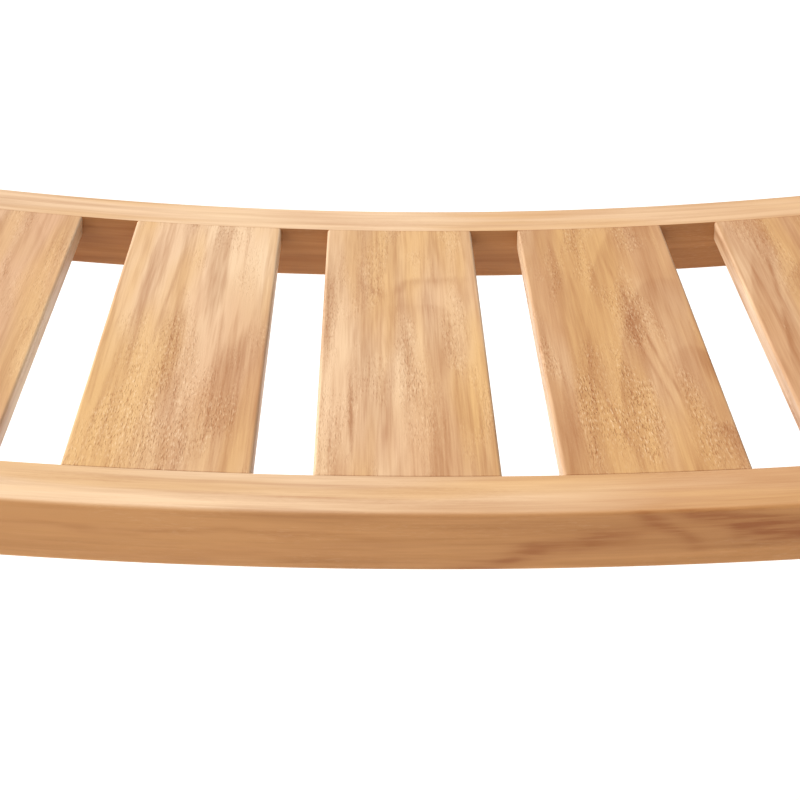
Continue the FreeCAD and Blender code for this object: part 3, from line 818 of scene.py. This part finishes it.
def soleNubs():
    # round nubs in rings under the sole
    recipe = Recipe("soleNubs")
    nubRadius = recipe.size("Nub radius", feet["nubRadius"])
    nubTall = recipe.size("Nub height", feet["nubTall"] * 2)
    rings = []
    for number, (ringRadius, ringCount) in enumerate(feet["nubRings"], 1):
        count = recipe.size(f"Nub count {number}", ringCount, "NodeSocketInt")
        radius = recipe.size(f"Ring radius {number}", ringRadius)
        rings.append(recipe.add("GeometryNodeMeshCircle", {"Vertices": count, "Radius": radius}))
    nubTip = recipe.size("Tip radius", feet["nubTip"])
    nub = recipe.add("GeometryNodeMeshCone", {
        "Vertices": 14, "Radius Top": nubRadius, "Radius Bottom": nubTip, "Depth": nubTall,
    })
    placed = recipe.add("GeometryNodeInstanceOnPoints", {"Points": recipe.join(rings), "Instance": nub})
    return recipe.plainMesh(placed, rubber)


def studThread(low, high):
    # a right-handed ridge that climbs one pitch each turn
    recipe = Recipe("studThread")
    pitch = recipe.size("Pitch", feet["threadPitch"])
    ridgeRadius = recipe.size("Ridge radius", feet["threadRoot"])
    ridgeSize = recipe.size("Ridge size", feet["threadCrest"] - feet["threadRoot"])
    tall = recipe.size("Height", high - low)
    turns = recipe.math("DIVIDE", tall, pitch)
    helix = recipe.add("GeometryNodeCurveSpiral", {
        "Resolution": 36, "Rotations": turns, "Start Radius": ridgeRadius, "End Radius": ridgeRadius,
        "Height": tall, "Reverse": True,
    })
    upright = recipe.add("GeometryNodeSetCurveNormal", {"Curve": helix}, mode="Z_UP")
    profile = recipe.add("GeometryNodeCurvePrimitiveCircle", {"Resolution": 4, "Radius": ridgeSize})
    ridge = recipe.add("GeometryNodeCurveToMesh", {
        "Curve": upright, "Profile Curve": profile, "Fill Caps": True,
    })
    raised = recipe.add("GeometryNodeTransform", {"Geometry": ridge, "Translation": (0, 0, low)})
    return recipe.plainMesh(raised, steel)


def hexReach(angle, limit):
    # the hexagon's edge at this angle, or the cone that takes off its corners
    sixth = math.pi / 3
    toFlat = (angle + sixth / 2) % sixth - sixth / 2
    return min(feet["hexAcross"] / 2 / math.cos(toFlat), limit)


def settle(name, meshes, corner, body, node, material):
    # the meshes as one piece, moved to the foot's own corner
    joined = bmesh.new()
    for mesh in meshes:
        joined.from_mesh(mesh)
    low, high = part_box(f"foot_pad_{corner}")
    middle = (low + high) / 2
    bmesh.ops.translate(joined, verts=joined.verts, vec=(middle.x, middle.y, 0))
    for face in joined.faces:
        face.material_index = 0
    mesh = bpy.data.meshes.new(name)
    joined.to_mesh(mesh)
    joined.free()
    mesh.materials.append(material)
    piece = bpy.data.objects.new(name, mesh)
    scene.collection.objects.link(piece)
    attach(piece, body)
    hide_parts(node)


def millimetres(outline):
    return [(radius * mm, height * mm) for radius, height in outline]


padOutline = millimetres([
    (6.4, 3), (11.9, 3), (12.15, 3.2), (12.15, 5.75), (11.9, 6.05), (11.3, 6.5), (11.15, 6.45), (11.0, 6.75),
    (9.3, 9.55), (8.9, 9.9), (8.6, 10), (4.4, 10), (4.05, 9.75), (4.05, 5.4), (6.4, 5.4)])
soleOutline = millimetres([
    (0, 0.7), (11.3, 0.7), (11.5, 0.6), (11.5, 0.15), (11.7, 0), (11.85, 0), (12, 0.2), (12, 1.2),
    (11.8, 1.4), (11.8, 1.7), (12, 1.9), (12, 2.8), (11.8, 3), (0, 3)])
neckOutline = millimetres([
    (0, 3.2), (5.8, 3.2), (6, 3.35), (6, 5.05), (5.85, 5.2), (4.0, 5.2), (4.0, 10.6), (0, 10.6)])
studBase = feet["hexHigh"] - 0.4 * mm
studChamfer = 0.6 * mm
coreOutline = [
    (0, studBase), (feet["threadRoot"], studBase), (feet["threadRoot"], feet["studTop"] - studChamfer),
    (feet["threadRoot"] - studChamfer, feet["studTop"]), (0, feet["studTop"])]
chamfer = millimetres([(step * math.sqrt(3), step) for step in (0, 0.12, 0.25, 0.4, 0.6, 0.9)])
hexOutline = [(0, feet["hexLow"])]
hexOutline += [(feet["hexCorner"] + out, feet["hexLow"] + up) for out, up in chamfer]
hexOutline += [(feet["hexCorner"] + out, feet["hexHigh"] - up) for out, up in reversed(chamfer)]
hexOutline += [(0, feet["hexHigh"])]

padMeshes = [spun("padBody", padOutline), padRibs(feet["rimRadius"], feet["rimLow"], feet["rimHigh"])]
soleMeshes = [spun("soleBody", soleOutline), soleNubs()]
studMeshes = [spun("studNeck", neckOutline), spun("studCore", coreOutline),
              spun("studHex", hexOutline, feet["around"] * 2, hexReach),
              studThread(feet["hexHigh"], feet["studTop"] - feet["threadEnd"])]
for corner in feet["corners"]:
    foot = f"foot_{corner}"
    screw = f"screw_{corner}"
    settle(f"ribbed_pad_{corner}", padMeshes, corner, foot, f"foot_pad_{corner}", plastic)
    settle(f"nubbed_sole_{corner}", soleMeshes, corner, foot, f"foot_sole_{corner}", rubber)
    settle(f"threaded_stud_{corner}", studMeshes, corner, screw, f"foot_stud_{corner}", steel)
print("levelling feet made")


# Curved rails

rails = {
    "bendRadius": 2.075,
    "wide": 28 * mm,
    "tall": railTall,
    "legInner": 0.264,
    "step": 2 * mm,              # along the bend
    "outerRound": 2 * mm,
    "innerRound": 0.2 * mm,
    "innerUnderRound": 1.5 * mm,
    "roundSteps": 7,
    "trim": 8 * mm,              # spare length at each end, cut off square after the bend
    "tenon": (24 * mm, 12 * mm, 16 * mm),
    "mortise": (63.7 * mm, 9.5 * mm, 5.2 * mm),
    "mortiseDown": 5.25 * mm,
    "mortiseOver": 1 * mm,       # how far the cutter stands out of the rail's face
    "nutHole": 5.1 * mm,
    "nutTop": 6.1 * mm,
    "nutHoleLong": 40 * mm,
}


def roundedSection(inward):
    # the section as (y, z) pairs about the middle of the top face
    half = rails["wide"] / 2
    under = -rails["tall"]
    corners = [(-half, 0, rails["outerRound"]), (half, 0, rails["innerRound"]),
               (half, under, rails["innerUnderRound"]), (-half, under, rails["outerRound"])]
    turns = [(1, -1), (-1, -1), (-1, 1), (1, 1)]
    starts = [math.pi, math.pi / 2, 0, -math.pi / 2]
    section = []
    for (y, z, radius), (inY, inZ), start in zip(corners, turns, starts):
        for step in range(rails["roundSteps"]):
            angle = start - math.pi / 2 * step / (rails["roundSteps"] - 1)
            pointY = y + radius * (inY + math.cos(angle))
            pointZ = z + radius * (inZ + math.sin(angle))
            section.append((inward * pointY, pointZ))
    return section


def straightBar(section):
    made = bmesh.new()
    half = rails["legInner"] + rails["trim"]
    count = int(2 * half / rails["step"])
    rings = []
    for step in range(count + 1):
        x = -half + 2 * half * step / count
        rings.append([made.verts.new((x, y, z)) for y, z in section])
    for first, second in zip(rings, rings[1:]):
        for place in range(len(section)):
            after = (place + 1) % len(section)
            made.faces.new((first[place], first[after], second[after], second[place]))
    made.faces.new(rings[0])
    made.faces.new(rings[-1])
    bmesh.ops.recalc_face_normals(made, faces=made.faces)
    mesh = bpy.data.meshes.new("straightBar")
    made.to_mesh(mesh)
    made.free()
    return mesh


def bend(bar, top, material):
    # the bar's length is wrapped round an axis above the seat
    recipe = Recipe("railBend")
    shape = recipe.given()
    radius = recipe.size("Bend radius", rails["bendRadius"])
    height = recipe.size("Seat height", top)
    place = recipe.add("GeometryNodeInputPosition")
    x, y, z = (recipe.add("ShaderNodeSeparateXYZ", {0: place}, output=axis) for axis in range(3))
    angle = recipe.math("DIVIDE", x, radius)
    reach = recipe.math("SUBTRACT", radius, z)
    bentX = recipe.math("MULTIPLY", reach, recipe.math("SINE", angle))
    rise = recipe.math("SUBTRACT", radius, recipe.math("MULTIPLY", reach, recipe.math("COSINE", angle)))
    bentPlace = recipe.add("ShaderNodeCombineXYZ", {0: bentX, 1: y, 2: recipe.math("ADD", rise, height)})
    bent = recipe.add("GeometryNodeSetPosition", {"Geometry": shape, "Position": bentPlace})
    return recipe.plainMesh(bent, material, bar)


def boxInto(made, middle, lengths, turn=0.0):
    place = Matrix.Translation(middle) @ Matrix.Rotation(turn, 4, "Y") @ Matrix.Diagonal((*lengths, 1))
    bmesh.ops.create_cube(made, size=1, matrix=place)


def railCutters(y, inward, top):
    # mortises for the slats, and the holes that the barrel nuts sit in
    made = bmesh.new()
    wide, deep, tall = rails["mortise"]
    centreZ = top + rails["bendRadius"]
    for count in range(1, 6):
        turn = math.asin(middleOf(f"slat_{count}").x / rails["bendRadius"])
        reach = rails["bendRadius"] + rails["mortiseDown"]
        inset = (rails["wide"] - deep) / 2 + rails["mortiseOver"]
        middle = Vector((reach * math.sin(turn), y + inward * inset, centreZ - reach * math.cos(turn)))
        boxInto(made, middle, (wide, deep + 2 * rails["mortiseOver"], tall), -turn)
    low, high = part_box("barrel_nuts")
    nutX = high.x - fittings["nutRadius"]
    holeTop = (low.z + high.z) / 2 + rails["nutTop"]
    holeLong = rails["nutHoleLong"]
    for side in (-1, 1):
        place = Matrix.Translation((side * nutX, y, holeTop - holeLong / 2))
        bmesh.ops.create_cone(made, cap_ends=True, segments=48, radius1=rails["nutHole"],
                              radius2=rails["nutHole"], depth=holeLong, matrix=place)
    cutter = bpy.data.meshes.new("railCutters")
    made.to_mesh(cutter)
    made.free()
    return cutter


def curvedRail(nodeName):
    middle = middleOf(nodeName)
    inward = -1 if middle.y > 0 else 1
    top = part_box(nodeName)[0].z + rails["tall"]
    bar = straightBar([(y + middle.y, z) for y, z in roundedSection(inward)])
    bent = bend(bar, top, railTeak[nodeName])
    made = bmesh.new()
    made.from_mesh(bent)
    for side in (-1, 1):
        everything = made.verts[:] + made.edges[:] + made.faces[:]
        cut = bmesh.ops.bisect_plane(made, geom=everything, plane_co=(side * rails["legInner"], 0, 0),
                                     plane_no=(side, 0, 0), clear_outer=True)
        rim = [part for part in cut["geom_cut"] if isinstance(part, bmesh.types.BMEdge)]
        bmesh.ops.contextual_create(made, geom=rim)
    bmesh.ops.recalc_face_normals(made, faces=made.faces)
    body = bpy.data.objects.new("railBody", bpy.data.meshes.new("railBody"))
    made.to_mesh(body.data)
    made.free()
    cutter = bpy.data.objects.new("railCutter", railCutters(middle.y, inward, top))
    for each in (body, cutter):
        scene.collection.objects.link(each)
    cutting = body.modifiers.new("cut", "BOOLEAN")
    cutting.operation = "DIFFERENCE"
    cutting.solver = "EXACT"
    cutting.object = cutter
    evaluated = body.evaluated_get(bpy.context.evaluated_depsgraph_get())
    cutMesh = bpy.data.meshes.new_from_object(evaluated)
    made = bmesh.new()
    made.from_mesh(cutMesh)
    low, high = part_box("barrel_nuts")
    for side in (-1, 1):
        boxInto(made, (side * rails["legInner"], middle.y, (low.z + high.z) / 2), rails["tenon"])
    for each in (body, cutter):
        bpy.data.objects.remove(each)
    for face in made.faces:
        face.material_index = 0
    mesh = meshOf(f"bent_{nodeName}", made)
    mesh.materials.clear()
    mesh.materials.append(railTeak[nodeName])
    piece = bpy.data.objects.new(f"bent_{nodeName}", mesh)
    scene.collection.objects.link(piece)
    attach(piece, "stool_frame")
    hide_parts(nodeName)
    print(nodeName, "bent,", len(mesh.polygons), "faces")


for nodeName in railLooks:
    curvedRail(nodeName)
print("rails made")
